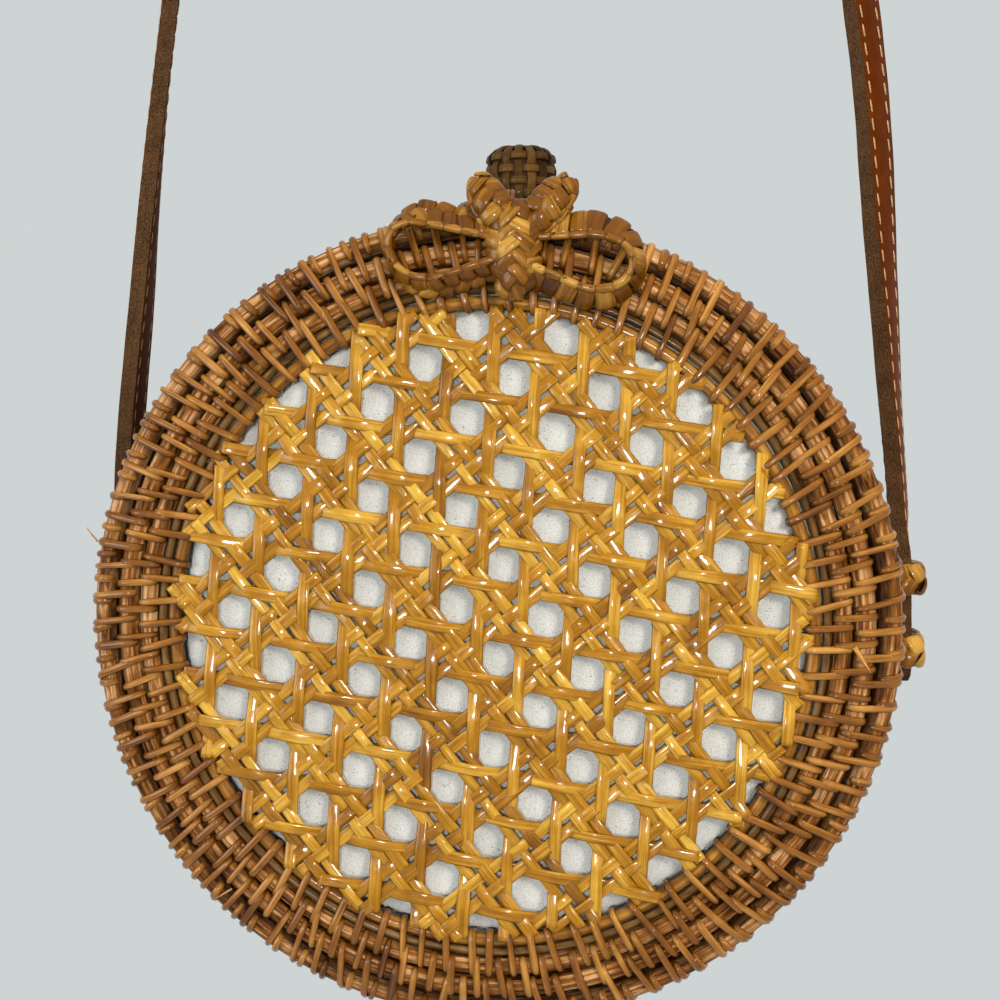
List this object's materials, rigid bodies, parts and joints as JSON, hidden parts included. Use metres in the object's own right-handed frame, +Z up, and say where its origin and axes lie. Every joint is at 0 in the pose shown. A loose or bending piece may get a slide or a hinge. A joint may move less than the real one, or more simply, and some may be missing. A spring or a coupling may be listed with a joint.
{
  "type": "round rattan shoulder bag",
  "caption": "Round coiled rattan shoulder bag with a cane-webbed front that hinges at the bottom, a plaited bow closure over a woven knob and a leather strap.",
  "frame": {"origin": "underside of the strap's top bend, middle of its width, where a hook or a shoulder carries the bag", "axes": "+Z up along the strap, -Y towards the cane front face, +X to the right seen from the front"},
  "size_m": [0.2226, 0.0868, 0.6192],
  "materials": {
    "rattan_core": "satin",
    "rattan_rod": "satin",
    "cane": "gloss",
    "plaited_grass": "satin",
    "knob_weave": "satin",
    "knob_wood": "matte",
    "cotton_lining": "matte",
    "strap_tan": "satin",
    "strap_brown": "matte"
  },
  "bodies": {
    "strap": {"strap_face": "strap_tan", "strap_backing": "strap_brown"},
    "back_half": {"back_wall_coil": "rattan_core", "back_face_coil": "rattan_core", "back_face_lining": "cotton_lining", "back_wall_lining": "cotton_lining", "knob_core": "knob_wood", "knob_weave": "knob_weave", "knob_stem": "knob_wood", "strap_end_left": "strap_tan", "strap_end_right": "strap_tan", "strap_loop_left_upper": "plaited_grass", "strap_loop_left_lower": "plaited_grass", "strap_loop_right_upper": "plaited_grass", "strap_loop_right_lower": "plaited_grass", "hinge_pin": "rattan_core", "hinge_loop_back_left": "plaited_grass", "hinge_loop_back_right": "plaited_grass"},
    "front_half": {"front_wall_coil": "rattan_core", "front_face_coil": "rattan_core", "panel_clamp_rod": "rattan_rod", "panel_edge_rod": "rattan_rod", "cane_panel": "cane", "front_face_lining": "cotton_lining", "front_wall_lining": "cotton_lining", "bow_knot": "plaited_grass", "bow_loop_left": "plaited_grass", "bow_loop_right": "plaited_grass", "bow_loop_upper_left": "plaited_grass", "bow_loop_upper_right": "plaited_grass", "closure_keeper": "plaited_grass", "hinge_loop_front": "plaited_grass"},
    "closure": {"closure_loop": "plaited_grass"}
  },
  "joints": [
    {"name": "strap_swing", "type": "hinge", "parent": "strap", "child": "back_half", "pos_m": [0, 0, -0.49172], "axis": [1, 0, 0], "range_deg": [-45, 45]},
    {"name": "bottom_hinge", "type": "hinge", "parent": "back_half", "child": "front_half", "pos_m": [0, -0.01224, -0.61272], "axis": [1, 0, 0], "range_deg": [0, 110], "deforming": ["closure_loop"]},
    {"name": "closure_lift", "type": "hinge", "parent": "front_half", "child": "closure", "pos_m": [0.0042, -0.04179, -0.40862], "axis": [1, 0, 0], "range_deg": [0, 75]}
  ]
}
